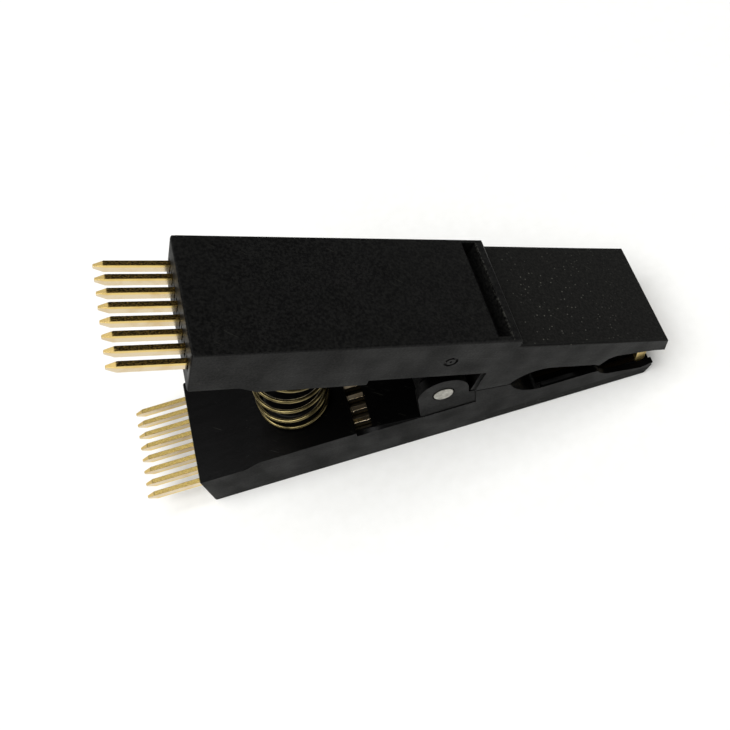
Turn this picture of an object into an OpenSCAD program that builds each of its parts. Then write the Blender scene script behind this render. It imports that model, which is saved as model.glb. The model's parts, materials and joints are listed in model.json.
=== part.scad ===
// Sixteen-contact spring clip that grips a small-outline chip and brings its leads out to two rows of pins.
// X runs from the rear pins to the jaw, Y across the arms, and Z up from the lower arm's flat outer face.
// Each arm is drawn in its own frame: u forward from the hinge axis along the arm, w outward from that axis.

/* [Arms] */
// Width across the arms
arm_w = 10.8; // [10.5:0.1:12]
// Length from the hinge axis back to the rear end
rear_len = 23.7; // [23:0.1:26]
// Length from the hinge axis forward to the tip of the upper jaw
jaw_len = 21.1; // [20.8:0.1:21.4]
// Distance from the hinge axis out to an arm's outer face
arm_depth = 8.5; // [8.3:0.1:9]
// Angle between the arms with the jaw closed
closed_angle = 26.7; // [26:0.1:27.5]
// Thickness of the side walls beside the hinge and the jaw
wall_t = 0.6; // [0.5:0.05:0.65]

/* [Rear block] */
// Depth of the pin block's inner face from the hinge axis
block_w = 3.5; // [3.2:0.1:3.8]
// Depth of the spring pad's inner face from the hinge axis
pad_w = 2.75; // [2.5:0.05:3]
// Distance from the hinge axis back to the end of the pin block
block_u = 19.3; // [19:0.1:20]
// Distance from the hinge axis back to the front end of the spring pad
pad_u = 8.5; // [8.4:0.1:9]
// Length of the window that shows the contacts in front of the pad
window_len = 1.6; // [1.2:0.1:2]

/* [Hinge] */
// Radius of the hinge pin
pin_r = 1.03; // [0.9:0.01:1.1]
// Radial running clearance of the lugs on the pin
pin_play = 0.04; // [0.02:0.01:0.08]
// Outer radius of the lower arm's ears
ear_r = 2.35; // [2.3:0.05:2.4]
// Thickness of an ear
ear_t = 0.95; // [0.8:0.05:1]
// How far an ear is set in from the side of the arm
ear_inset = 0.1; // [0.1:0.05:0.3]
// How far the hinge pin stands out of each ear
pin_out = 0.08; // [0:0.01:0.1]
// Outer radius of the upper arm's lugs
lug_r = 2.2; // [2.1:0.05:2.3]
// Thickness of a lug
lug_t = 1.3; // [1:0.1:1.5]
// Depth of the rails' inner edge from the hinge axis
rail_w = 3.4; // [3.3:0.05:3.6]

/* [Contacts] */
// Spacing of the contacts, the lead pitch of the chip
pitch = 1.27; // [1.27]
// Contacts in each arm
count = 8; // [8]
// Thickness of the contact strip
strip_t = 0.48; // [0.4:0.01:0.5]
// Height of a rear pin
pin_h = 0.83; // [0.7:0.01:0.85]
// Length of a rear pin behind the arm
pin_len = 5.5; // [5:0.1:7]
// Height of the springy blade in the jaw
blade_h = 0.45; // [0.35:0.01:0.45]

/* [Spring] */
// Mean radius of the coils
coil_r = 3.3; // [3.2:0.05:3.5]
// Diameter of the wire
wire_d = 0.38; // [0.35:0.01:0.5]
// Distance from the hinge axis back to the middle of the spring
spring_u = 13.2; // [13:0.1:13.5]
// Turns between the two pads, the closed end turns included
turns = 7.5; // [7.5:1:8.5]

/* [Hidden] */

$fn = 64;
half_w = arm_w / 2;
slope = tan(closed_angle / 2);
over = 1;

// Each arm's own depths, upper arm first: jaw edge, outer face of the nose, inner face of the nose,
// recess behind the jaw and at the tip, inner faces of the contact's bar and blade, rise of the jaw edge
// in front of the scoop, how far the edge at the tip turns back inwards, and how far the rear face leans forward
UPPER = [3.65, 7.5, 6.22, 4.8, 5.7, 5.55, 5.75, 0.15, 0, 0.35];
LOWER = [4.7, 8.4, 7.0, 5.65, 6.9, 4.88, 6.45, -0.1, 0.45, 0];
JAW = 0;
NOSE_OUT = 1;
NOSE_IN = 2;
RECESS = 3;
TIP = 4;
BAR = 5;
BLADE = 6;
NUB = 7;
LIP = 8;
LEAN = 9;

ramp_u = 17.8;
cover_w = 4.4;
step_u = 3.75;
step_run = 0.15;
jaw_u = 15.2;
wall_end = 9;
scoop_r = 3.4;
stop_shift = 0.4;
stop_gap = 0.12;
stop_end = 9.6;
upper_stop_u = 3.05;
lower_stop_u = 2.35;
hook_lean = 0.35;
hook_band = 0.38;
hook_step = 0.15;
panel_u = 2.95;
lower_jaw_len = 20.65;
upper_tip_back = 0.9;
lower_tip_back = 0.6;
comb_u = 17.6;
comb_len = 1.6;
comb_play = 0.06;
snug = 0.02;
mouth_w = 0.85;
mouth_h = 1.25;
mouth_len = 0.5;

slot_u = 1.45;
slot_len = 1.4;
slot_half = 4.95;
retainer_w = 6.9;

bend_u = 4.2;
bend_run = 2.6;
tip_u = 19.15;
tip_len = 0.95;
tip_gap = 0.12;
taper = 0.8;
taper_h = 0.24;

boss_r = 2.8;
boss_h = 1.1;
mark_r = 0.65;
mark_groove = 0.25;
mark_d = 0.12;
mark_u = -1.85;
mark_w = 5.62;

// The hinge axis stands where the whole clip is centred on the origin
nose_reach = (jaw_len - upper_tip_back) * cos(closed_angle) + UPPER[NOSE_OUT] * sin(closed_angle);
hinge_x = (rear_len + pin_len - nose_reach) / 2;

// Depth at which the two jaws would meet, a distance u in front of the hinge
function meeting(u) = u * slope;

module in_upper_arm() {
    translate([hinge_x, 0, arm_depth]) rotate([0, closed_angle, 0]) children();
}

module in_lower_arm() {
    translate([hinge_x, 0, arm_depth]) mirror([0, 0, 1]) children();
}

// Stands a flat outline up in the arm's u-w plane, between two places across the arm
module across(y0, y1) {
    translate([0, y1, 0]) rotate([90, 0, 0]) linear_extrude(y1 - y0) children();
}

module both_sides() {
    children();
    mirror([0, 1, 0]) children();
}

module place_contacts() {
    for (k = [1 : count]) translate([0, (k - (count + 1) / 2) * pitch, 0]) children();
}

// The solid middle of an arm: pin block, spring pad, cover over the contacts, stop block and nose
module core_outline(arm, stop_u, shift, reach, back) {
    difference() {
        polygon([
            [-rear_len, arm_depth],
            [-rear_len + arm[LEAN], block_w],
            [-block_u, block_w],
            [-ramp_u, pad_w],
            [-pad_u, pad_w],
            [-pad_u, cover_w],
            [stop_u, cover_w],
            [stop_u, meeting(stop_u) + shift],
            [wall_end, meeting(wall_end) + shift],
            [wall_end, arm[NOSE_IN]],
            [reach - back * (arm[NOSE_IN] - arm[TIP]) / (arm[NOSE_OUT] - arm[TIP]), arm[NOSE_IN]],
            [reach - back, arm[NOSE_OUT]],
            [step_u + step_run, arm[NOSE_OUT]],
            [step_u, arm_depth]
        ]);
        scoop(arm);
    }
}

// The side walls beside the hinge and the jaw
module wall_outline(arm, stop_u, edge_u, shift, reach, back) {
    difference() {
        polygon([
            [-pad_u - over, arm_depth],
            [-pad_u - over, pad_w + over],
            [-pad_u, rail_w],
            [edge_u, rail_w],
            [stop_u, meeting(stop_u) + shift],
            [stop_end, meeting(stop_end) + shift],
            [stop_end, arm[JAW]],
            [jaw_u - 0.9, arm[JAW]],
            [jaw_u - 0.3, arm[JAW] - arm[NUB]],
            [jaw_u + 0.1, arm[RECESS] - 0.2],
            [jaw_u + 0.7, arm[RECESS] + 0.25],
            [reach - 1.2, arm[TIP]],
            [reach, arm[TIP] - arm[LIP]],
            [reach - back, arm[NOSE_OUT]],
            [step_u + step_run, arm[NOSE_OUT]],
            [step_u, arm_depth]
        ]);
        scoop(arm);
    }
}

// Round relief in front of the stop block
module scoop(arm) {
    translate([stop_end, arm[JAW] - scoop_r]) circle(scoop_r);
}

// Side view of one contact: tapered pin, straight bar, bend, springy blade and gripping tip
module contact_outline(arm) {
    pin_end = -rear_len - pin_len;
    bar_out = arm[BAR] + pin_h;
    blade_out = arm[BLADE] + blade_h;
    pin_mid = arm[BAR] + pin_h / 2;
    touch = meeting(tip_u + tip_len) - slope * tip_len / 2 + tip_gap;
    polygon([
        [pin_end, pin_mid - taper_h / 2],
        [pin_end + taper, arm[BAR]],
        [bend_u, arm[BAR]],
        [bend_u + bend_run, arm[BLADE]],
        [tip_u - 0.5, arm[BLADE]],
        [tip_u, arm[BLADE] - 0.4],
        [tip_u, touch + 0.2],
        [tip_u + 0.25, touch],
        [tip_u + tip_len - 0.25, touch],
        [tip_u + tip_len, touch + 0.2],
        [tip_u + tip_len, blade_out - 0.3],
        [tip_u + tip_len - 0.3, blade_out],
        [bend_u + bend_run, blade_out],
        [bend_u, bar_out],
        [pin_end + taper, bar_out],
        [pin_end, pin_mid + taper_h / 2]
    ]);
}

// One stamped contact, its pin tapered on all four sides
module contact(arm) {
    pin_end = -rear_len - pin_len;
    intersection() {
        across(-strip_t / 2, strip_t / 2) contact_outline(arm);
        linear_extrude(arm_depth) polygon([
            [pin_end, -taper_h / 2],
            [pin_end + taper, -strip_t / 2],
            [jaw_len, -strip_t / 2],
            [jaw_len, strip_t / 2],
            [pin_end + taper, strip_t / 2],
            [pin_end, taper_h / 2]
        ]);
    }
}

// Passages for the contacts: a wide mouth at the rear, close along the bar, free along the bend and comb
module contact_passages(arm) {
    free = strip_t / 2 + comb_play;
    close = strip_t / 2 + snug;
    blade_out = arm[BLADE] + blade_h;
    deep = max(arm[BAR] + pin_h, blade_out) + snug;
    shallow = min(arm[BAR], arm[BLADE]) - snug;
    place_contacts() {
        translate([-rear_len - over, -mouth_w / 2, arm[BAR] + (pin_h - mouth_h) / 2])
            cube([over + mouth_len, mouth_w, mouth_h]);
        translate([-rear_len - over, -close, arm[BAR] - snug])
            cube([rear_len + over + bend_u + snug, 2 * close, pin_h + 2 * snug]);
        translate([bend_u - snug, -free, shallow]) cube([wall_end - bend_u + over, 2 * free, deep - shallow]);
        translate([comb_u - over, -free, arm[TIP] - over])
            cube([comb_len + 2 * over, 2 * free, blade_out + snug - arm[TIP] + over]);
    }
}

// Open window in the cover, where the contacts cross from the pad to the hinge
module contact_window(arm) {
    translate([-pad_u, wall_t - half_w, cover_w - over])
        cube([window_len, arm_w - 2 * wall_t, arm[BAR] + pin_h + 0.15 - cover_w + over]);
}

module retainer_slot(arm) {
    translate([slot_u, -slot_half, arm[BAR] + pin_h]) cube([slot_len, 2 * slot_half, arm_depth]);
}

module comb(arm) {
    translate([comb_u, wall_t - half_w, arm[BLADE]])
        cube([comb_len, arm_w - 2 * wall_t, arm[NOSE_IN] - arm[BLADE] + 0.2]);
}

// Round post that keeps the spring in place on its pad
module spring_boss() {
    translate([-spring_u, 0, pad_w - boss_h]) cylinder(h = boss_h + over, r = boss_r);
    translate([-spring_u, 0, pad_w - boss_h - 0.3]) cylinder(h = 0.3, r1 = boss_r - 0.4, r2 = boss_r);
}

// A rounded plate round the hinge axis, reaching up into the arm's cover
module hinge_plate(y0, y1, r) {
    across(y0, y1) {
        circle(r);
        translate([-r, 0]) square([2 * r, cover_w + 0.2]);
    }
}

module pin_hole(r) {
    across(-half_w - over, half_w + over) circle(r);
}

module retainer(arm) {
    low = arm[BAR] + pin_h + snug;
    translate([slot_u + snug, snug - slot_half, low])
        cube([slot_len - 2 * snug, 2 * (slot_half - snug), retainer_w - low]);
}

// Narrow band of the stop block behind the slanted edge of each side wall, set in from the side
module hook_face() {
    across(hook_step - half_w, half_w - hook_step) polygon([
        [upper_stop_u - hook_lean - hook_band, cover_w + 0.2],
        [upper_stop_u - hook_lean - hook_band, rail_w],
        [upper_stop_u - hook_band, meeting(upper_stop_u - hook_band) - stop_shift],
        [upper_stop_u + over, meeting(upper_stop_u + over) - stop_shift],
        [upper_stop_u + over, cover_w + 0.2]
    ]);
}

// Shallow ring with a dot in its middle, on the near side only
module round_mark() {
    translate([mark_u, mark_d - half_w, mark_w]) rotate([90, 0, 0]) {
        difference() {
            cylinder(h = over, r = mark_r);
            translate([0, 0, -over / 2]) cylinder(h = 2 * over, r = mark_r - mark_groove);
        }
        cylinder(h = over, r = mark_groove / 2);
    }
}

module upper_arm() {
    lug_y = half_w - ear_inset - ear_t - 0.15;
    color("#161616") in_upper_arm() difference() {
        union() {
            across(-half_w, half_w)
                core_outline(UPPER, upper_stop_u, -stop_shift, jaw_len, upper_tip_back);
            both_sides() across(half_w - wall_t, half_w)
                wall_outline(UPPER, upper_stop_u, upper_stop_u - hook_lean, -stop_shift, jaw_len,
                    upper_tip_back);
            both_sides() hinge_plate(lug_y - lug_t, lug_y, lug_r);
            hook_face();
            comb(UPPER);
            spring_boss();
        }
        contact_passages(UPPER);
        contact_window(UPPER);
        retainer_slot(UPPER);
        pin_hole(pin_r + pin_play);
        round_mark();
    }
}

module lower_arm() {
    ear_y = half_w - ear_inset;
    shift = stop_shift + stop_gap;
    color("#161616") in_lower_arm() difference() {
        union() {
            difference() {
                union() {
                    across(-half_w, half_w)
                        core_outline(LOWER, lower_stop_u, shift, lower_jaw_len, lower_tip_back);
                    both_sides() across(half_w - wall_t, half_w)
                        wall_outline(LOWER, lower_stop_u, lower_stop_u, shift, lower_jaw_len, lower_tip_back);
                }
                both_sides() translate([-ear_r + 0.1, ear_y, -over])
                    cube([panel_u + ear_r - 0.1, over, rail_w + 0.1 + over]);
            }
            both_sides() hinge_plate(ear_y - ear_t, ear_y, ear_r);
            comb(LOWER);
            spring_boss();
        }
        contact_passages(LOWER);
        contact_window(LOWER);
        retainer_slot(LOWER);
        pin_hole(pin_r);
    }
}

module hinge_pin() {
    color("#c9cbc9") translate([hinge_x, 0, arm_depth])
        across(ear_inset - pin_out - half_w, half_w - ear_inset + pin_out) circle(pin_r);
}

// The spring's centre line is an arc that meets both pads square
arc_r = pad_w / slope + spring_u;
arc_len = arc_r * closed_angle * PI / 180;
ring_sides = 8;
turn_steps = 20;
rings = turns * turn_steps;

// Distance along the centre line after a number of turns, with one closed turn at each end
function climb(turn) =
    let(free = (arc_len - 3 * wire_d * 1.04) / (turns - 2))
    wire_d * 0.52 + wire_d * 1.04 * (min(turn, 1) + max(turn - turns + 1, 0))
    + free * min(max(turn - 1, 0), turns - 2);

// Point at radius r from the spring's centre line, in the lower arm's frame seen from above
function on_spring(turn, r, lift) =
    let(a = (climb(turn) + lift) / arc_len * closed_angle, reach = arc_r - r * cos(turn * 360))
    [pad_w / slope - reach * cos(a), r * sin(turn * 360), reach * sin(a) - pad_w];

function spring_ring(turn) = [for (s = [0 : ring_sides - 1])
    on_spring(turn, coil_r + wire_d / 2 * cos(s * 360 / ring_sides), wire_d / 2 * sin(s * 360 / ring_sides))];

module coil_spring() {
    points = [for (i = [0 : rings]) each spring_ring(i / turn_steps)];
    sides = [for (i = [0 : rings - 1], s = [0 : ring_sides - 1])
        let(next = (s + 1) % ring_sides, a = i * ring_sides, b = a + ring_sides)
        each [[a + s, b + next, a + next], [a + s, b + s, b + next]]];
    first = [for (s = [0 : ring_sides - 1]) s];
    last = [for (s = [ring_sides - 1 : -1 : 0]) rings * ring_sides + s];
    color("#c9a24a") translate([hinge_x, 0, arm_depth])
        polyhedron(points = points, faces = concat([first], sides, [last]));
}

module upper_contact_retainer() {
    color("#1d1d1d") in_upper_arm() retainer(UPPER);
}

module lower_contact_retainer() {
    color("#1d1d1d") in_lower_arm() retainer(LOWER);
}

// Contacts are numbered from the near side of the clip to the far side
module upper_contact(k) {
    color("#d8b45a") in_upper_arm() translate([0, (k - (count + 1) / 2) * pitch, 0]) contact(UPPER);
}

module lower_contact(k) {
    color("#d8b45a") in_lower_arm() translate([0, (k - (count + 1) / 2) * pitch, 0]) contact(LOWER);
}

upper_arm();
lower_arm();
hinge_pin();
coil_spring();
upper_contact_retainer();
lower_contact_retainer();
upper_contact(1);  // upper_contact_1
upper_contact(2);  // upper_contact_2
upper_contact(3);  // upper_contact_3
upper_contact(4);  // upper_contact_4
upper_contact(5);  // upper_contact_5
upper_contact(6);  // upper_contact_6
upper_contact(7);  // upper_contact_7
upper_contact(8);  // upper_contact_8
lower_contact(1);  // lower_contact_1
lower_contact(2);  // lower_contact_2
lower_contact(3);  // lower_contact_3
lower_contact(4);  // lower_contact_4
lower_contact(5);  // lower_contact_5
lower_contact(6);  // lower_contact_6
lower_contact(7);  // lower_contact_7
lower_contact(8);  // lower_contact_8
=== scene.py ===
import json
import math

import bmesh
import bpy
import numpy as np
from mathutils import Matrix, Vector


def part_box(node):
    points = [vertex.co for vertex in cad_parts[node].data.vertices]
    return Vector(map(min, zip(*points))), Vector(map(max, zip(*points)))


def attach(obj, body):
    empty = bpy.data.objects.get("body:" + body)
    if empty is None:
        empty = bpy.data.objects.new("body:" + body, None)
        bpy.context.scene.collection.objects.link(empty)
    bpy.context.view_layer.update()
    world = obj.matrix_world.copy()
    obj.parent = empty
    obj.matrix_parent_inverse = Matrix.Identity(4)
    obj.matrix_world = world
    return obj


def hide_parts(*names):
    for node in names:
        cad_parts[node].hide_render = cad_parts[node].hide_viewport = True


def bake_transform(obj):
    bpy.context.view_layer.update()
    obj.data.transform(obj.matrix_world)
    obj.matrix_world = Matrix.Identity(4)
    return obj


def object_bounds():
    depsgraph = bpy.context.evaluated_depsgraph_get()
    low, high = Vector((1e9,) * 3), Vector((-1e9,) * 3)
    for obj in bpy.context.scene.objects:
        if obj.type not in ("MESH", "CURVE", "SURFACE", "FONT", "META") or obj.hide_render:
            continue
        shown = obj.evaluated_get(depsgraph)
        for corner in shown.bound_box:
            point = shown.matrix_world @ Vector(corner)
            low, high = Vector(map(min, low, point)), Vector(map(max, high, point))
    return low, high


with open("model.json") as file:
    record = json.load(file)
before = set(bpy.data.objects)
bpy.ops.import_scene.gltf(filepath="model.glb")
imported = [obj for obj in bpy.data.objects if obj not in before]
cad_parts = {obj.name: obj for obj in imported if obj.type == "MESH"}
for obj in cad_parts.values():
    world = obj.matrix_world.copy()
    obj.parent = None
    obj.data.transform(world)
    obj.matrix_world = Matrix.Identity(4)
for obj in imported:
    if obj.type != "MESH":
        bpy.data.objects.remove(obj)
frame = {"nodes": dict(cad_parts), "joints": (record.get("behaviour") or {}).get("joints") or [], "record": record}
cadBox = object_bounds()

mm = 0.001
weldWithin = 1e-7   # m, corners closer than this are the same corner
hinge = Vector(frame["joints"][0]["pos_m"])
closedAngle = math.acos(-frame["record"]["mounts"][1]["axis"][0])   # upper arm's slope at rest, from its pin row
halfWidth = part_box("upper_arm")[1].y
print("frame loaded: hinge at", [round(v / mm, 3) for v in hinge], "mm")


camera = {
    "fromHinge": (-6.462, -35.585, 66.56),   # mm, where the lens stands, from the middle of the hinge
    "aimFromHinge": (-5.955, -1.135, 1.64),   # mm, what it looks at
    "roll": -15.76,   # degrees about its own line of sight
    "lens": 40.51,   # mm
    "sensor": 36.0,   # mm
    "near": 0.002,   # m, nothing closer than this is drawn
    "far": 20,   # m
}


def makeCamera(c):
    data = bpy.data.cameras.new("studioCamera")
    data.lens, data.sensor_width = c["lens"], c["sensor"]
    data.clip_start, data.clip_end = c["near"], c["far"]
    cam = bpy.data.objects.new("studioCamera", data)
    bpy.context.scene.collection.objects.link(cam)
    place = hinge + Vector(c["fromHinge"]) * mm
    line = hinge + Vector(c["aimFromHinge"]) * mm - place
    turn = line.to_track_quat("-Z", "Y").to_matrix() @ Matrix.Rotation(math.radians(c["roll"]), 3, "Z")
    cam.matrix_world = Matrix.Translation(place) @ turn.to_4x4()
    bpy.context.scene.camera = cam


makeCamera(camera)
print("camera set")


# u runs forward from the hinge along an arm, w outward from the hinge, both in mm; y is shared

armFrames = {
    "upper": (Matrix.Rotation(-closedAngle, 4, "Y") @ Matrix.Translation(-hinge)),
    "lower": (Matrix.Diagonal((1, 1, -1, 1)) @ Matrix.Translation(-hinge)),
}


def inArm(arm, points):
    # points times the arm's matrix, in mm: columns are u, y, w
    m = np.array(armFrames[arm])
    return (points @ m[:3, :3].T + m[:3, 3]) / mm


def newPiece(name, body, replaced):
    piece = bpy.data.objects.new(name, bpy.data.meshes.new(name))
    bpy.context.scene.collection.objects.link(piece)
    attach(piece, body)
    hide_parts(replaced)
    return piece


def shadeByAngle(mesh, degrees):
    mesh.polygons.foreach_set("use_smooth", np.ones(len(mesh.polygons), bool))
    mesh.set_sharp_from_angle(angle=math.radians(degrees))


def turnOutward(mesh):
    bm = bmesh.new()
    bm.from_mesh(mesh)
    bmesh.ops.recalc_face_normals(bm, faces=bm.faces)
    bm.to_mesh(mesh)
    bm.free()


armEdges = {
    "crease": 0.24,   # mm, long edges between the sides and the outer face
    "rearCorner": 0.18,   # mm, edges round the rear end
    "rearReach": 0.4,   # mm, how far in from the rear end an edge still belongs to the rear face
    "segments": 4,
    "creaseAbove": 7.2,   # mm outward of the hinge, below this the side edges stay sharp
    "creaseLongerThan": 2,   # mm
    "flatBelow": 0.5,   # degrees, faces that meet flatter than this become one
    "sharpAbove": 25,   # degrees
    "smoothBelow": 32,   # degrees
    "sameFace": 0.01,   # mm, how near a face an edge must lie to be on it
}


def armEnds(bm, arm):
    # rearmost u and outermost w of the arm
    points = inArm(arm, np.array([v.co[:] for v in bm.verts]))
    return points[:, 0].min(), points[:, 2].max()


def edgeTable(bm, arm, c):
    # for each edge: its two ends in the arm's frame, its length, and whether it is a sharp outward one
    bm.edges.ensure_lookup_table()
    ends = np.array([[v.co[:] for v in e.verts] for e in bm.edges])
    ends = inArm(arm, ends.reshape(-1, 3)).reshape(-1, 2, 3)
    turned = np.array([e.calc_face_angle_signed(0.0) if e.is_manifold else 0.0 for e in bm.edges])
    return ends, np.linalg.norm(ends[:, 0] - ends[:, 1], axis=1), turned > math.radians(c["sharpAbove"])


def roundEdges(bm, chosen, width, segments):
    edges = [e for e, pick in zip(bm.edges, chosen) if pick]
    bmesh.ops.bevel(bm, geom=edges, offset=width * mm, segments=segments, profile=0.5,
                    affect="EDGES", clamp_overlap=True, miter_outer="ARC")


def makeArm(name, node, arm, body, c):
    bm = bmesh.new()
    bm.from_mesh(frame["nodes"][node].data)
    bmesh.ops.remove_doubles(bm, verts=bm.verts, dist=weldWithin)
    bmesh.ops.dissolve_limit(bm, angle_limit=math.radians(c["flatBelow"]), verts=bm.verts, edges=bm.edges)
    half = halfWidth / mm
    rear, deep = armEnds(bm, arm)

    ends, length, outward = edgeTable(bm, arm, c)
    onSide = np.all(np.abs(np.abs(ends[:, :, 1]) - half) < c["sameFace"], axis=1)
    onTop = np.all(ends[:, :, 2] > deep - c["sameFace"], axis=1)
    onRear = np.all(ends[:, :, 0] < rear + c["rearReach"], axis=1)
    corner = outward & onRear & (onSide | onTop)
    roundEdges(bm, corner, c["rearCorner"], c["segments"])

    ends, length, outward = edgeTable(bm, arm, c)
    onSide = np.all(np.abs(np.abs(ends[:, :, 1]) - half) < c["sameFace"], axis=1)
    highOut = np.all(ends[:, :, 2] > c["creaseAbove"], axis=1)
    crease = outward & onSide & highOut & (length > c["creaseLongerThan"])
    roundEdges(bm, crease, c["crease"], c["segments"])

    mesh = bpy.data.meshes.new(name)
    bm.to_mesh(mesh)
    bm.free()
    piece = newPiece(name, body, node)
    piece.data = mesh
    shadeByAngle(mesh, c["smoothBelow"])
    flat = piece.modifiers.new("flatFaces", "WEIGHTED_NORMAL")   # keeps the flats flat beside the rounded edges
    flat.keep_sharp = True
    return piece


upperMoulding = makeArm("upperArmMoulding", "upper_arm", "upper", "upper_body", armEdges)
lowerMoulding = makeArm("lowerArmMoulding", "lower_arm", "lower", "lower_body", armEdges)
print("arms rounded:", len(upperMoulding.data.polygons), len(lowerMoulding.data.polygons), "faces")


spring = {
    "meanRadius": 3.3,   # mm
    "wire": 0.38,   # mm
    "turns": 7.5,
    "closedPitch": 1.04,   # wires, from turn to turn at the closed ends
    "padDepth": 2.75,   # mm from the hinge axis to each arm's pad
    "fromHinge": 13.2,   # mm along each arm to the middle of the spring
    "sides": 20,
    "steps": 56,   # per turn
    "smoothBelow": 40,   # degrees
}


def springArc(c):
    # The centre line is an arc about the point where the planes of the two pads meet. What comes back is how
    # far that point lies in front of the hinge, and the arc's radius, both in mm.
    ahead = c["padDepth"] / math.tan(closedAngle / 2)
    return ahead, ahead + c["fromHinge"]


def helixPoints(c, turn, side):
    # The arc meets both pads square. A point goes round it by the turn, climbs it by a wire's thickness in each
    # end turn and evenly between them, and stands out from the wire's middle by the wire's radius times
    # (cos, sin) of the side angle.
    ahead, arc = springArc(c)
    length = arc * closedAngle
    closed, n = c["wire"] * c["closedPitch"], c["turns"]
    rise = (length - 3 * closed) / (n - 2)
    climb = closed / 2 + closed * (np.minimum(turn, 1) + np.maximum(turn - n + 1, 0)) \
        + rise * np.clip(turn - 1, 0, n - 2)
    radius = c["meanRadius"] + c["wire"] / 2 * np.cos(side)
    angle = (climb + c["wire"] / 2 * np.sin(side)) / arc
    reach = arc - radius * np.cos(turn * 2 * np.pi)
    x = ahead - reach * np.cos(angle)
    y = radius * np.sin(turn * 2 * np.pi)
    z = reach * np.sin(angle) - c["padDepth"]
    return np.stack([x, y, z], axis=-1) * mm + np.array(hinge)


def gridFaces(rows, columns, closedColumns):
    # quads between neighbouring rows and columns; the last column joins the first where closed
    r, c = np.meshgrid(np.arange(rows - 1), np.arange(columns if closedColumns else columns - 1), indexing="ij")
    n = (c + 1) % columns
    below, above = r * columns, (r + 1) * columns
    return np.stack([below + c, below + n, above + n, above + c], -1).reshape(-1, 4)


def makeSpring(c):
    rings = int(c["turns"] * c["steps"]) + 1
    turn, side = np.meshgrid(np.linspace(0, c["turns"], rings),
                             np.arange(c["sides"]) / c["sides"] * 2 * np.pi, indexing="ij")
    points = helixPoints(c, turn, side).reshape(-1, 3)
    faces = gridFaces(rings, c["sides"], True)[:, ::-1].tolist()
    faces += [list(range(c["sides"])), list(range((rings - 1) * c["sides"], rings * c["sides"]))[::-1]]
    name = "springCoil"
    mesh = bpy.data.meshes.new(name)
    mesh.from_pydata(points.tolist(), [], faces)
    turnOutward(mesh)
    along = mesh.attributes.new("alongWire", "FLOAT_VECTOR", "POINT")   # turn and side, for the drawn lines
    place = np.stack([turn * 2 * np.pi * c["meanRadius"], side * c["wire"] / 2, side * 0], -1).reshape(-1, 3)
    along.data.foreach_set("vector", place.astype(np.float32).ravel())
    shadeByAngle(mesh, c["smoothBelow"])
    piece = bpy.data.objects.new(name, mesh)
    bpy.context.scene.collection.objects.link(piece)
    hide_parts("coil_spring")
    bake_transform(piece)
    return piece


springCoil = makeSpring(spring)
print("spring wound:", len(springCoil.data.polygons), "faces")


hingePin = {
    "radius": 1.03,   # mm, where it is pressed in the ears
    "head": 0.92,   # mm, radius of the turned-down ends
    "headLength": 0.7,   # mm
    "chamfer": 0.07,   # mm
    "dome": 0.015,   # mm, how far the middle of each end stands proud of its rim
    "middle": 0.02,   # mm, radius of the small flat that closes each end
    "domeRings": 12,
    "sides": 96,
    "smoothBelow": 25,   # degrees
}


def makeHingePin(c):
    # A profile of radius against place along the pin, turned about the pin's axis. Each end is turned down to
    # a narrower head with a shallow crown, height = dome times (1 - (r / rim) squared), inside a chamfered rim.
    low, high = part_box("hinge_pin")
    half = (high.y - low.y) / 2 / mm
    rim = c["head"] - c["chamfer"]
    r = np.linspace(c["middle"], rim, c["domeRings"])
    end = np.stack([r, half + c["dome"] * (1 - (r / rim) ** 2)], 1)
    shoulder = half - c["headLength"]
    neck = [[c["head"], half - c["chamfer"]], [c["head"], shoulder], [c["radius"], shoulder]]
    profile = np.concatenate([end, neck])
    profile = np.concatenate([profile, profile[::-1] * (1, -1)])
    turn = np.arange(c["sides"]) / c["sides"] * 2 * np.pi
    x = profile[:, None, 0] * np.cos(turn)
    z = profile[:, None, 0] * np.sin(turn)
    y = profile[:, None, 1] + 0 * turn   # the same all the way round
    points = np.stack([x, y, z], -1).reshape(-1, 3) * mm + np.array(hinge)
    faces = gridFaces(len(profile), c["sides"], True).tolist()
    faces += [list(range(c["sides"])), list(range((len(profile) - 1) * c["sides"], len(profile) * c["sides"]))]
    piece = newPiece("hingePinTurned", "lower_body", "hinge_pin")
    mesh = piece.data
    mesh.from_pydata(points.tolist(), [], faces)
    turnOutward(mesh)
    shadeByAngle(mesh, c["smoothBelow"])
    return piece


pinPiece = makeHingePin(hingePin)
print("hinge pin turned")


contactEdges = {
    "softened": 0.035,   # mm
    "segments": 2,
    "sharpAbove": 20,   # degrees
}


def softenContacts(c):
    names = [n for n in frame["nodes"] if "_contact_" in n and "retainer" not in n]
    for n in names:
        strip = frame["nodes"][n]
        weld = strip.modifiers.new("weld", "WELD")
        weld.merge_threshold = weldWithin
        bevel = strip.modifiers.new("softened", "BEVEL")
        bevel.width = c["softened"] * mm
        bevel.segments = c["segments"]
        bevel.limit_method = "ANGLE"
        bevel.angle_limit = math.radians(c["sharpAbove"])
        bevel.harden_normals = True
    return names


contactNames = softenContacts(contactEdges)
print("contacts softened:", len(contactNames))


def fromHex(code):
    # sRGB hex to linear colour
    parts = [int(code[i:i + 2], 16) / 255 for i in (0, 2, 4)]
    return tuple(p / 12.92 if p <= 0.04045 else ((p + 0.055) / 1.055) ** 2.4 for p in parts) + (1.0,)


def addNode(tree, kind, inputs=None, out=0, **settings):
    # one node with its settings made and its inputs given: a socket is linked, anything else is stored
    node = tree.nodes.new(kind)
    for key, value in settings.items():
        setattr(node, key, value)
    for key, value in (inputs or {}).items():
        if isinstance(value, bpy.types.NodeSocket):
            tree.links.new(value, node.inputs[key])
        else:
            node.inputs[key].default_value = value
    return node.outputs[out]


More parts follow.
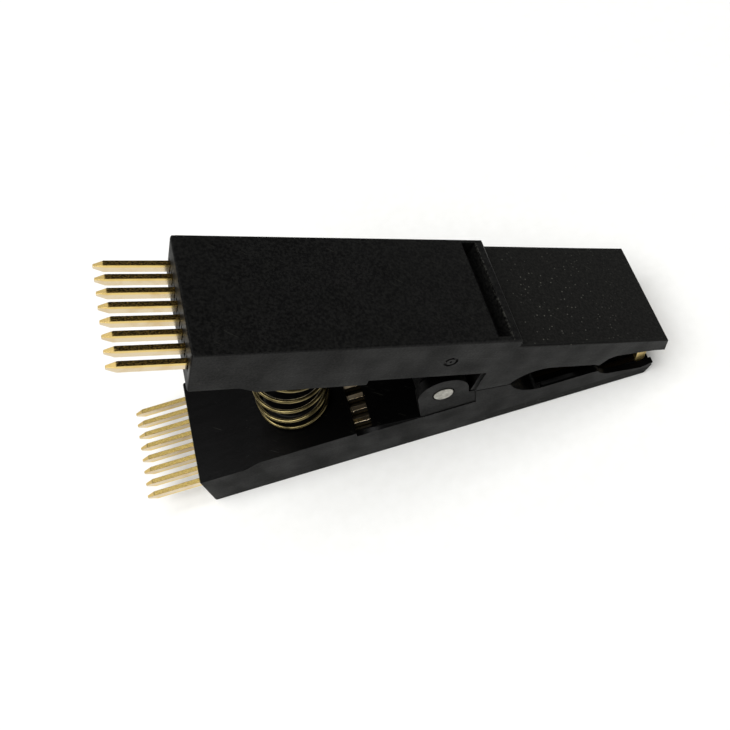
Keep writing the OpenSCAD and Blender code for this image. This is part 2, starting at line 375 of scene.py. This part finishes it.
def startMaterial(name, metal, roughness, specular=0.5):
    material = bpy.data.materials.new(name)
    material.use_nodes = True
    shader = material.node_tree.nodes["Principled BSDF"]
    shader.inputs["Metallic"].default_value = metal
    shader.inputs["Roughness"].default_value = roughness
    shader.inputs["Specular IOR Level"].default_value = specular
    return material, material.node_tree, shader


def armPlace(tree, arm):
    # object coordinates carried into the arm's own frame, in mm: u, y, w
    turn = -closedAngle if arm == "upper" else 0.0
    up = 1 if arm == "upper" else -1
    origin = Matrix.Rotation(turn, 3, "Y") @ -hinge / mm
    return addNode(tree, "ShaderNodeMapping", {
        "Vector": addNode(tree, "ShaderNodeTexCoord", out="Object"),
        "Location": (origin.x, origin.y, origin.z * up),
        "Rotation": (0.0, turn, 0.0),
        "Scale": (1 / mm, 1 / mm, up / mm)})


def dots(tree, place, spacing, radius, share):
    # round specks: cells "spacing" mm apart, and in a share of them a dot of about this radius in mm
    cells = addNode(tree, "ShaderNodeTexVoronoi", {"Vector": place, "Scale": 1 / spacing}).node.outputs
    rim = radius / spacing
    near = addNode(tree, "ShaderNodeMapRange", {0: cells["Distance"], 1: rim, 2: rim * 0.6})
    drawn = addNode(tree, "ShaderNodeSeparateColor", {0: cells["Color"]})
    chosen = addNode(tree, "ShaderNodeMapRange", {0: drawn, 1: 1 - share, 2: 1 - share * 0.6})
    return addNode(tree, "ShaderNodeMath", {0: near, 1: chosen}, operation="MULTIPLY")


# Black glass-filled nylon, injection moulded: almost black, satin and finely grained where the tool was polished,
# coarser and greyer on the nose, where the tool was spark-eroded, with lighter specks painted on it as painted
# glints, and painted darker on the faces that look towards the other arm, as painted shade
moulding = {
    "colour": "040404",
    "grainColour": "151514",
    # painted shade: the colour of the inward faces between the arms, near black
    "innerShadeColour": "030303",
    "noseColour": "090908",
    "noseGrainColour": "171715",
    # painted highlight: the colour of the glints on the nose
    "paintedGlint": "5F5F58",
    "scuff": "34342F",
    "roughness": 0.48,
    "innerRoughness": 0.28,   # inner faces come off polished steel
    "noseRoughness": 0.6,
    "specular": {"upper": 0.085, "lower": 0.068},   # the lower arm's copy is a little less glossy, only so that its sides read darker: painted shade
    "roughSpread": (-0.1, 0.12),   # from the shiniest to the dullest patch
    "patch": 0.35,   # shinier and duller patches, per mm
    "grain": 0.2,   # mm
    "sparkGrain": 0.26,   # mm
    "speckSpacing": 0.37,   # mm
    "speckShare": 0.6,   # of the places that could have one
    "speckStrength": 0.85,
    "speckRadius": 0.075,   # mm, drawn coarser than the real glints so that they show
    "speckHeart": (8.5, -1.5, 7.5),   # mm, where on the nose the specks stand thickest
    "speckReach": 9.0,   # mm, where they are thinnest
    "speckThinnest": 0.2,
    "lintSpacing": 2.6,   # mm
    "lintRadius": 0.07,   # mm
    "lintShare": 0.5,
    "lintStrength": 0.55,
    "scratchTurn": 0.6,   # radians from straight across
    "scratchGrain": (2.0, 0.125, 0.25),   # mm, length and breadth
    "scratchStrength": 0.4,
    "stepAt": 3.85,   # mm in front of the hinge
    "stepFade": 0.08,   # mm
    "noseFace": 7.3,   # mm outward of the hinge
    "faceFade": 0.1,   # mm
    "slotEdge": (2.86, 2.98),   # mm in front of the hinge, where flash is left along the slot
    "slotFace": 8.3,   # mm outward of the hinge
    "flowStreak": (0.13, 1.1, 1.1),   # the moulding's flow, per mm along and across the arm
    "relief": 0.03,   # mm
}


def makeMoulding(name, arm, c):
    material, tree, shader = startMaterial(name, 0.0, c["roughness"], c["specular"][arm])
    place = armPlace(tree, arm)
    parts = addNode(tree, "ShaderNodeSeparateXYZ", {0: place}).node.outputs
    u, w = parts[0], parts[2]
    pastStep = addNode(tree, "ShaderNodeMapRange", {0: u, 1: c["stepAt"], 2: c["stepAt"] + c["stepFade"]})
    atFace = addNode(tree, "ShaderNodeMapRange", {0: w, 1: c["noseFace"] - c["faceFade"], 2: c["noseFace"]})
    onNose = addNode(tree, "ShaderNodeMath", {0: pastStep, 1: atFace}, operation="MULTIPLY")

    # satin grain, and the coarser spark-eroded grain of the nose
    satin = addNode(tree, "ShaderNodeTexNoise",
                    {"Vector": place, "Scale": 1 / c["grain"], "Detail": 3.0, "Roughness": 0.6})
    spark = addNode(tree, "ShaderNodeTexNoise",
                    {"Vector": place, "Scale": 1 / c["sparkGrain"], "Detail": 4.0, "Roughness": 0.7})
    satinMix = addNode(tree, "ShaderNodeMapRange", {0: satin, 1: 0.4, 2: 0.62})
    sparkMix = addNode(tree, "ShaderNodeMapRange", {0: spark, 1: 0.42, 2: 0.62})
    plain = addNode(tree, "ShaderNodeMix", {0: satinMix, 6: fromHex(c["colour"]), 7: fromHex(c["grainColour"])},
                    out=2, data_type="RGBA")
    nose = addNode(tree, "ShaderNodeMix",
                   {0: sparkMix, 6: fromHex(c["noseColour"]), 7: fromHex(c["noseGrainColour"])},
                   out=2, data_type="RGBA")
    colour = addNode(tree, "ShaderNodeMix", {0: onNose, 6: plain, 7: nose}, out=2, data_type="RGBA")

    # faces that look inward, towards the other arm: painted darker as painted shade between the arms, and given
    # the roughness of polished steel
    inward = (-math.sin(closedAngle), 0.0, -math.cos(closedAngle)) if arm == "upper" else (0.0, 0.0, 1.0)
    normal = addNode(tree, "ShaderNodeTexCoord", out="Normal")
    facing = addNode(tree, "ShaderNodeVectorMath", {0: normal, 1: inward}, out="Value", operation="DOT_PRODUCT")
    inwardShadeAndPolish = addNode(tree, "ShaderNodeMapRange", {0: facing, 1: 0.5, 2: 0.9})
    colour = addNode(tree, "ShaderNodeMix", {0: inwardShadeAndPolish, 6: colour, 7: fromHex(c["innerShadeColour"])},
                     out=2, data_type="RGBA")

    # painted glints on the nose: lighter specks standing in for highlights on the spark-eroded grain, thick round
    # one place and thin away from it
    away = addNode(tree, "ShaderNodeVectorMath", {0: place, 1: c["speckHeart"]}, out="Value", operation="DISTANCE")
    density = addNode(tree, "ShaderNodeMapRange",
                      {0: away, 1: c["speckReach"], 2: 1.0, 3: c["speckThinnest"], 4: 1.0})
    specks = dots(tree, place, c["speckSpacing"], c["speckRadius"], c["speckShare"])
    glints = addNode(tree, "ShaderNodeMath", {0: specks, 1: density}, operation="MULTIPLY")
    glints = addNode(tree, "ShaderNodeMath", {0: glints, 1: onNose}, operation="MULTIPLY")
    glintPaint = addNode(tree, "ShaderNodeMath", {0: glints, 1: c["speckStrength"]}, operation="MULTIPLY")
    colour = addNode(tree, "ShaderNodeMix", {0: glintPaint, 6: colour, 7: fromHex(c["paintedGlint"])}, out=2, data_type="RGBA")

    # lint, short diagonal scratches, and torn flash along the edge of the retainer's slot
    lint = dots(tree, place, c["lintSpacing"], c["lintRadius"], c["lintShare"])
    lint = addNode(tree, "ShaderNodeMath", {0: lint, 1: c["lintStrength"]}, operation="MULTIPLY")
    slanted = addNode(tree, "ShaderNodeMapping", {"Vector": place, "Rotation": (0.0, 0.0, c["scratchTurn"])})
    drawn = addNode(tree, "ShaderNodeMapping",
                    {"Vector": slanted, "Scale": tuple(1 / s for s in c["scratchGrain"])})
    hairs = addNode(tree, "ShaderNodeTexNoise", {"Vector": drawn, "Scale": 1.0, "Detail": 1.0})
    hairs = addNode(tree, "ShaderNodeMapRange", {0: hairs, 1: 0.73, 2: 0.76, 4: c["scratchStrength"]})
    marks = addNode(tree, "ShaderNodeMath", {0: lint, 1: hairs}, operation="MAXIMUM")
    low, high = c["slotEdge"]
    behind = addNode(tree, "ShaderNodeMapRange", {0: u, 1: low - 0.03, 2: low})
    before = addNode(tree, "ShaderNodeMapRange", {0: u, 1: high, 2: high - 0.05})
    outer = addNode(tree, "ShaderNodeMapRange", {0: w, 1: c["slotFace"], 2: c["slotFace"] + 0.1})
    torn = addNode(tree, "ShaderNodeMapRange", {0: satin, 1: 0.52, 2: 0.6})
    flash = addNode(tree, "ShaderNodeMath", {0: behind, 1: before}, operation="MULTIPLY")
    flash = addNode(tree, "ShaderNodeMath", {0: flash, 1: outer}, operation="MULTIPLY")
    flash = addNode(tree, "ShaderNodeMath", {0: flash, 1: torn}, operation="MULTIPLY")
    marks = addNode(tree, "ShaderNodeMath", {0: marks, 1: flash}, operation="MAXIMUM")
    colour = addNode(tree, "ShaderNodeMix", {0: marks, 6: colour, 7: fromHex(c["scuff"])}, out=2, data_type="RGBA")
    tree.links.new(colour, shader.inputs["Base Color"])

    cloud = addNode(tree, "ShaderNodeTexNoise", {"Vector": place, "Scale": c["patch"], "Detail": 3.0})
    shinier, duller = c["roughSpread"]
    rough = addNode(tree, "ShaderNodeMapRange",
                    {0: cloud, 1: 0.3, 2: 0.7, 3: c["roughness"] + shinier, 4: c["roughness"] + duller})
    rough = addNode(tree, "ShaderNodeMix", {0: onNose, 2: rough, 3: c["noseRoughness"]})
    rough = addNode(tree, "ShaderNodeMix", {0: inwardShadeAndPolish, 2: rough, 3: c["innerRoughness"]})
    rough = addNode(tree, "ShaderNodeMath", {0: glints, 1: -0.25, 2: rough}, operation="MULTIPLY_ADD")
    tree.links.new(rough, shader.inputs["Roughness"])

    faint = addNode(tree, "ShaderNodeMath", {0: satin, 1: 0.5}, operation="MULTIPLY")
    height = addNode(tree, "ShaderNodeMix", {0: onNose, 2: faint, 3: spark})
    flow = addNode(tree, "ShaderNodeTexNoise", {
        "Vector": addNode(tree, "ShaderNodeMapping", {"Vector": place, "Scale": c["flowStreak"]}), "Scale": 1.0})
    height = addNode(tree, "ShaderNodeMath", {0: flow, 1: 0.5, 2: height}, operation="MULTIPLY_ADD")
    height = addNode(tree, "ShaderNodeMath", {0: flash, 1: 2.0, 2: height}, operation="MULTIPLY_ADD")
    relief = addNode(tree, "ShaderNodeBump", {"Height": height, "Distance": c["relief"] * mm, "Strength": 0.8})
    tree.links.new(relief, shader.inputs["Normal"])
    return material


# Plain unfilled nylon strip, moulded: the same black, smoother
insert = {
    "colour": "080808",
    "grainColour": "111111",
    "roughness": 0.42,
    "specular": 0.085,
    "grain": 0.2,   # mm
    "relief": 0.01,   # mm
}


def makeInsert(name, arm, c):
    material, tree, shader = startMaterial(name, 0.0, c["roughness"], c["specular"])
    lumps = addNode(tree, "ShaderNodeTexNoise",
                    {"Vector": armPlace(tree, arm), "Scale": 1 / c["grain"], "Detail": 3.0})
    share = addNode(tree, "ShaderNodeMapRange", {0: lumps, 1: 0.3, 2: 0.7})
    colour = addNode(tree, "ShaderNodeMix", {0: share, 6: fromHex(c["colour"]), 7: fromHex(c["grainColour"])},
                     out=2, data_type="RGBA")
    rough = addNode(tree, "ShaderNodeMapRange",
                    {0: lumps, 1: 0.2, 2: 0.8, 3: c["roughness"], 4: c["roughness"] + 0.15})
    relief = addNode(tree, "ShaderNodeBump", {"Height": lumps, "Distance": c["relief"] * mm})
    tree.links.new(colour, shader.inputs["Base Color"])
    tree.links.new(rough, shader.inputs["Roughness"])
    tree.links.new(relief, shader.inputs["Normal"])
    return material


# Gold flash over nickel on stamped phosphor bronze: the rolled faces bright and slightly two-toned along their
# length, the two tones a painted reflection, the sheared edges of the rear pins dull and grainy where the plating
# is thin and painted much darker on the upper arm than on the lower as painted shade, the coined ends bright again,
# the contact tips painted paler as a painted highlight, and the blades inside the nose painted dark as painted
# shade
gold = {
    "bright": "E2C67C",
    "paleReflection": "D9C8AA",
    "deep": "B98F3C",
    "edge": {"upper": ("2A2210", "6E5A30"), "lower": ("8E7C46", "B09A5E")},   # torn hollows, and between them; the upper pair painted much darker, as painted shade
    "coined": "E6C983",
    "coinedRoughness": 0.45,
    # painted shade: the colour of the blades inside the nose
    "bladeShade": "1C150B",
    # painted highlight: the contact tips drawn paler and brighter than the faces
    "tip": "F4D892",
    "tipRoughness": 0.33,
    "roughness": 0.16,
    "shearedRoughness": 0.5,
    "tear": (0.16, 0.1, 0.1),   # mm, length and breadth of the torn grains
    "blotch": 0.7,   # deeper patches of the plating, per mm
    "rolled": (2.0, 20.0, 20.0),   # rolling lines, per mm along and across the strip
    "relief": 0.02,   # mm
    "toneLine": (0.12, 0.26),   # mm outward of the strip's middle, where the paler tone ends, the other begins
    "toneWander": 0.1,   # mm
    "coinedFade": 0.05,   # mm, either side
    "middle": {"upper": 5.965, "lower": 5.295},   # mm outward of the hinge, middle of the rear pins
    "coinedFrom": -28.52,   # mm, the ends behind this are bright all round
    "pinsFrom": -21.0,   # mm, edges in front of this are plated like the faces
    "blade": (7.5, 19.1),   # mm, from and to, the stretch painted dark as painted shade
}


def makeGold(name, arm, c):
    material, tree, shader = startMaterial(name, 1.0, c["roughness"])
    place = armPlace(tree, arm)
    parts = addNode(tree, "ShaderNodeSeparateXYZ", {0: place}).node.outputs
    u, w = parts[0], parts[2]
    normal = addNode(tree, "ShaderNodeTexCoord", out="Normal")
    across = addNode(tree, "ShaderNodeSeparateXYZ", {0: normal}, out=1)
    facing = addNode(tree, "ShaderNodeMath", {0: across}, operation="ABSOLUTE")
    onEdge = addNode(tree, "ShaderNodeMapRange", {0: facing, 1: 0.55, 2: 0.25})
    behind, before = c["coinedFrom"] - c["coinedFade"], c["coinedFrom"] + c["coinedFade"]
    uncoined = addNode(tree, "ShaderNodeMapRange", {0: u, 1: behind, 2: before})
    onPin = addNode(tree, "ShaderNodeMapRange", {0: u, 1: c["pinsFrom"] + 0.5, 2: c["pinsFrom"]})
    sheared = addNode(tree, "ShaderNodeMath", {0: onEdge, 1: uncoined}, operation="MULTIPLY")
    sheared = addNode(tree, "ShaderNodeMath", {0: sheared, 1: onPin}, operation="MULTIPLY")

    # the two tones of a rolled face, a painted reflection, meet along its middle, in a line that wanders a little
    drawn = addNode(tree, "ShaderNodeMapping", {"Vector": place, "Scale": (0.25, 1.7, 1.7)})
    wander = addNode(tree, "ShaderNodeTexNoise", {"Vector": drawn, "Scale": 1.0})
    line = addNode(tree, "ShaderNodeMath", {0: wander, 1: c["toneWander"], 2: w}, operation="MULTIPLY_ADD")
    paleEnds, brightBegins = (c["middle"][arm] + out for out in c["toneLine"])
    half = addNode(tree, "ShaderNodeMapRange", {0: line, 1: paleEnds, 2: brightBegins})
    face = addNode(tree, "ShaderNodeMix", {0: half, 6: fromHex(c["paleReflection"]), 7: fromHex(c["bright"])},
                   out=2, data_type="RGBA")
    cloud = addNode(tree, "ShaderNodeTexNoise", {"Vector": place, "Scale": c["blotch"], "Detail": 3.0})
    deeper = addNode(tree, "ShaderNodeMapRange", {0: cloud, 1: 0.5, 2: 0.8, 4: 0.5})
    face = addNode(tree, "ShaderNodeMix", {0: deeper, 6: face, 7: fromHex(c["deep"])}, out=2, data_type="RGBA")

    grains = addNode(tree, "ShaderNodeTexNoise", {
        "Vector": addNode(tree, "ShaderNodeMapping", {"Vector": place, "Scale": tuple(1 / s for s in c["tear"])}),
        "Scale": 1.0, "Detail": 4.0, "Roughness": 0.65})
    some = addNode(tree, "ShaderNodeMapRange", {0: grains, 1: 0.42, 2: 0.56})
    few = addNode(tree, "ShaderNodeMapRange", {0: grains, 1: 0.6, 2: 0.7})
    hollow, plated = c["edge"][arm]
    edge = addNode(tree, "ShaderNodeMix", {0: some, 6: fromHex(hollow), 7: fromHex(plated)},
                   out=2, data_type="RGBA")
    edge = addNode(tree, "ShaderNodeMix", {0: few, 6: edge, 7: fromHex(c["deep"])}, out=2, data_type="RGBA")
    colour = addNode(tree, "ShaderNodeMix", {0: sheared, 6: face, 7: edge}, out=2, data_type="RGBA")
    coined = addNode(tree, "ShaderNodeMapRange", {0: u, 1: before, 2: behind})
    coinedTop = addNode(tree, "ShaderNodeMath", {0: onEdge, 1: coined}, operation="MULTIPLY")
    colour = addNode(tree, "ShaderNodeMix", {0: coinedTop, 6: colour, 7: fromHex(c["coined"])},
                     out=2, data_type="RGBA")

    # painted shade: the blades inside the nose drawn nearly black
    low, high = c["blade"]
    pastBend = addNode(tree, "ShaderNodeMapRange", {0: u, 1: low, 2: low + 1})
    beforeTip = addNode(tree, "ShaderNodeMapRange", {0: u, 1: high + 0.1, 2: high})
    onTip = addNode(tree, "ShaderNodeMapRange", {0: u, 1: high, 2: high + 0.1})
    bladeInShade = addNode(tree, "ShaderNodeMath", {0: pastBend, 1: beforeTip}, operation="MULTIPLY")
    colour = addNode(tree, "ShaderNodeMix", {0: bladeInShade, 6: colour, 7: fromHex(c["bladeShade"])}, out=2, data_type="RGBA")
    colour = addNode(tree, "ShaderNodeMix", {0: onTip, 6: colour, 7: fromHex(c["tip"])}, out=2, data_type="RGBA")
    tree.links.new(colour, shader.inputs["Base Color"])

    smooth = addNode(tree, "ShaderNodeMapRange",
                     {0: cloud, 1: 0.2, 2: 0.8, 3: c["roughness"] - 0.04, 4: c["roughness"] + 0.08})
    dull = addNode(tree, "ShaderNodeMath", {0: sheared, 1: bladeInShade}, operation="MAXIMUM")
    rough = addNode(tree, "ShaderNodeMix", {0: dull, 2: smooth, 3: c["shearedRoughness"]})
    rough = addNode(tree, "ShaderNodeMix", {0: onTip, 2: rough, 3: c["tipRoughness"]})
    rough = addNode(tree, "ShaderNodeMix", {0: coinedTop, 2: rough, 3: c["coinedRoughness"]})
    tree.links.new(rough, shader.inputs["Roughness"])
    rolled = addNode(tree, "ShaderNodeTexNoise", {
        "Vector": addNode(tree, "ShaderNodeMapping", {"Vector": place, "Scale": c["rolled"]}), "Scale": 1.0})
    faint = addNode(tree, "ShaderNodeMath", {0: rolled, 1: 0.08}, operation="MULTIPLY")
    height = addNode(tree, "ShaderNodeMix", {0: sheared, 2: faint, 3: grains})
    relief = addNode(tree, "ShaderNodeBump", {"Height": height, "Distance": c["relief"] * mm, "Strength": 0.7})
    tree.links.new(relief, shader.inputs["Normal"])
    return material


# Drawn spring wire, brass plated: yellow metal with fine lines along the wire and darker patches
wire = {
    "bright": "80744F",
    "dull": "332D1C",
    "roughness": 0.17,
    "line": 0.05,   # mm, breadth of the drawing lines
    "relief": 0.006,   # mm
}


def makeWire(name, c):
    material, tree, shader = startMaterial(name, 1.0, c["roughness"])
    place = addNode(tree, "ShaderNodeAttribute", out="Vector", attribute_name="alongWire")
    drawn = addNode(tree, "ShaderNodeMapping", {"Vector": place, "Scale": (0.05, 1.0, 1.0)})
    lines = addNode(tree, "ShaderNodeTexNoise", {"Vector": drawn, "Scale": 1 / c["line"]})
    patches = addNode(tree, "ShaderNodeTexNoise", {"Vector": place, "Scale": 0.6, "Detail": 3.0})
    share = addNode(tree, "ShaderNodeMapRange", {0: patches, 1: 0.4, 2: 0.7})
    colour = addNode(tree, "ShaderNodeMix", {0: share, 6: fromHex(c["bright"]), 7: fromHex(c["dull"])},
                     out=2, data_type="RGBA")
    rough = addNode(tree, "ShaderNodeMapRange",
                    {0: patches, 1: 0.3, 2: 0.7, 3: c["roughness"], 4: c["roughness"] + 0.15})
    relief = addNode(tree, "ShaderNodeBump", {"Height": lines, "Distance": c["relief"] * mm, "Strength": 0.6})
    tree.links.new(colour, shader.inputs["Base Color"])
    tree.links.new(rough, shader.inputs["Roughness"])
    tree.links.new(relief, shader.inputs["Normal"])
    return material


# Nickel-plated steel pin, turned: grey-white metal with faint turning rings and a mottled, dulled face, and a dark
# ring painted round the rim of each head, painted shade in the clearance round it
nickel = {
    "bright": "B4B2AA",
    "dull": "8E8C85",
    "ringShade": "14130F",
    "ringShadeFrom": (0.88, 0.915),   # mm from the pin's axis, where the dark begins and where it is full
    "roughness": 0.36,
    "ring": 0.11,   # mm
    "mottle": 0.35,   # mm
    "relief": 0.008,   # mm
}


def makeNickel(name, c):
    material, tree, shader = startMaterial(name, 1.0, c["roughness"])
    place = addNode(tree, "ShaderNodeMapping", {
        "Vector": addNode(tree, "ShaderNodeTexCoord", out="Object"),
        "Location": tuple(-hinge / mm), "Scale": (1 / mm,) * 3})
    flat = addNode(tree, "ShaderNodeMapping", {"Vector": place, "Scale": (1.0, 0.0, 1.0)})
    radius = addNode(tree, "ShaderNodeVectorMath", {0: flat}, out="Value", operation="LENGTH")
    phase = addNode(tree, "ShaderNodeMath", {0: radius, 1: 2 * math.pi / c["ring"]}, operation="MULTIPLY")
    rings = addNode(tree, "ShaderNodeMath", {0: phase}, operation="SINE")
    mottle = addNode(tree, "ShaderNodeTexNoise",
                     {"Vector": place, "Scale": 1 / c["mottle"], "Detail": 4.0, "Roughness": 0.6})
    share = addNode(tree, "ShaderNodeMapRange", {0: mottle, 1: 0.35, 2: 0.65})
    colour = addNode(tree, "ShaderNodeMix", {0: share, 6: fromHex(c["dull"]), 7: fromHex(c["bright"])},
                     out=2, data_type="RGBA")
    start, full = c["ringShadeFrom"]
    inRingShade = addNode(tree, "ShaderNodeMapRange", {0: radius, 1: start, 2: full})
    colour = addNode(tree, "ShaderNodeMix", {0: inRingShade, 6: colour, 7: fromHex(c["ringShade"])},
                     out=2, data_type="RGBA")
    rough = addNode(tree, "ShaderNodeMapRange",
                    {0: mottle, 1: 0.3, 2: 0.7, 3: c["roughness"] + 0.12, 4: c["roughness"]})
    height = addNode(tree, "ShaderNodeMath", {0: rings, 1: 0.2, 2: mottle}, operation="MULTIPLY_ADD")
    relief = addNode(tree, "ShaderNodeBump", {"Height": height, "Distance": c["relief"] * mm, "Strength": 0.7})
    tree.links.new(colour, shader.inputs["Base Color"])
    tree.links.new(rough, shader.inputs["Roughness"])
    tree.links.new(relief, shader.inputs["Normal"])
    return material


def setMaterial(piece, material):
    piece.data.materials.clear()
    piece.data.materials.append(material)


setMaterial(upperMoulding, makeMoulding("glassFilledNylonUpperArm", "upper", moulding))
setMaterial(lowerMoulding, makeMoulding("glassFilledNylonLowerArm", "lower", moulding))
setMaterial(springCoil, makeWire("brassPlatedSpringWire", wire))
setMaterial(pinPiece, makeNickel("nickelPlatedTurnedSteel", nickel))
for arm in ("upper", "lower"):
    goldFlash = makeGold("goldFlashedBronze" + arm.capitalize(), arm, gold)
    for contactName in contactNames:
        if contactName.startswith(arm):
            frame["nodes"][contactName].material_slots[0].material = goldFlash
    retainer = frame["nodes"][arm + "_contact_retainer"]
    retainer.material_slots[0].material = makeInsert("plainNylonInsert" + arm.capitalize(), arm, insert)
print("materials set:", len(bpy.data.materials))


studio = {
    "floorSize": 6.0,   # m
    "floorColour": "F4F4F2",
    "floorFleck": "ECECE9",
    "floorMottle": 1.2,   # mm
    "floorRelief": 0.01,   # mm
    "floorDrop": 0.00002,   # m under the lowest face, so that the two never coincide
    "key": {"at": (-0.45, -0.18, 1.2), "aim": (0, 0, 0), "size": 1.2, "watts": 23.0},   # m
}

sky = {
    "colour": "FFFFFF",
    "low": 0.9,   # strength at the horizon and below it
    "high": 0.2,   # strength overhead
    "from": 0.06,   # sine of the height above the horizon, where it starts to fall
    "to": 0.22,
}


def makeFloor(c):
    size = c["floorSize"] / 2
    low = cadBox[0].z - c["floorDrop"]
    mesh = bpy.data.meshes.new("studioFloor")
    corners = [(-size, -size, low), (size, -size, low), (size, size, low), (-size, size, low)]
    mesh.from_pydata(corners, [], [(0, 1, 2, 3)])
    floor = bpy.data.objects.new("studioFloor", mesh)
    bpy.context.scene.collection.objects.link(floor)
    # Matt white board: no gloss, a faint paper mottle
    material, tree, shader = startMaterial("matteWhiteBoard", 0.0, 0.9, 0.1)
    place = addNode(tree, "ShaderNodeMapping",
                    {"Vector": addNode(tree, "ShaderNodeTexCoord", out="Object"), "Scale": (1 / mm,) * 3})
    mottle = addNode(tree, "ShaderNodeTexNoise", {"Vector": place, "Scale": 1 / c["floorMottle"], "Detail": 3.0})
    colour = addNode(tree, "ShaderNodeMix", {0: mottle, 6: fromHex(c["floorColour"]), 7: fromHex(c["floorFleck"])},
                     out=2, data_type="RGBA")
    relief = addNode(tree, "ShaderNodeBump", {"Height": mottle, "Distance": c["floorRelief"] * mm, "Strength": 0.3})
    tree.links.new(colour, shader.inputs["Base Color"])
    tree.links.new(relief, shader.inputs["Normal"])
    setMaterial(floor, material)


def makeLight(name, c):
    data = bpy.data.lights.new(name, "AREA")
    data.shape, data.size, data.energy = "SQUARE", c["size"], c["watts"]
    light = bpy.data.objects.new(name, data)
    bpy.context.scene.collection.objects.link(light)
    light.location = c["at"]
    light.rotation_euler = (Vector(c["aim"]) - Vector(c["at"])).to_track_quat("-Z", "Y").to_euler()


def makeWorld(c):
    # pale at the horizon and below, like a white sweep, and dim overhead
    world = bpy.data.worlds.new("studioWorld")
    bpy.context.scene.world = world
    world.use_nodes = True
    tree = world.node_tree
    direction = addNode(tree, "ShaderNodeTexCoord", out="Generated")
    height = addNode(tree, "ShaderNodeSeparateXYZ", {0: direction}, out=2)
    strength = addNode(tree, "ShaderNodeMapRange", {0: height, 1: c["from"], 2: c["to"], 3: c["low"], 4: c["high"]})
    back = tree.nodes["Background"]
    back.inputs["Color"].default_value = fromHex(c["colour"])
    tree.links.new(strength, back.inputs["Strength"])


makeFloor(studio)
makeLight("keySoftbox", studio["key"])
makeWorld(sky)
bpy.context.scene.view_settings.view_transform = "Standard"
print("studio lit")
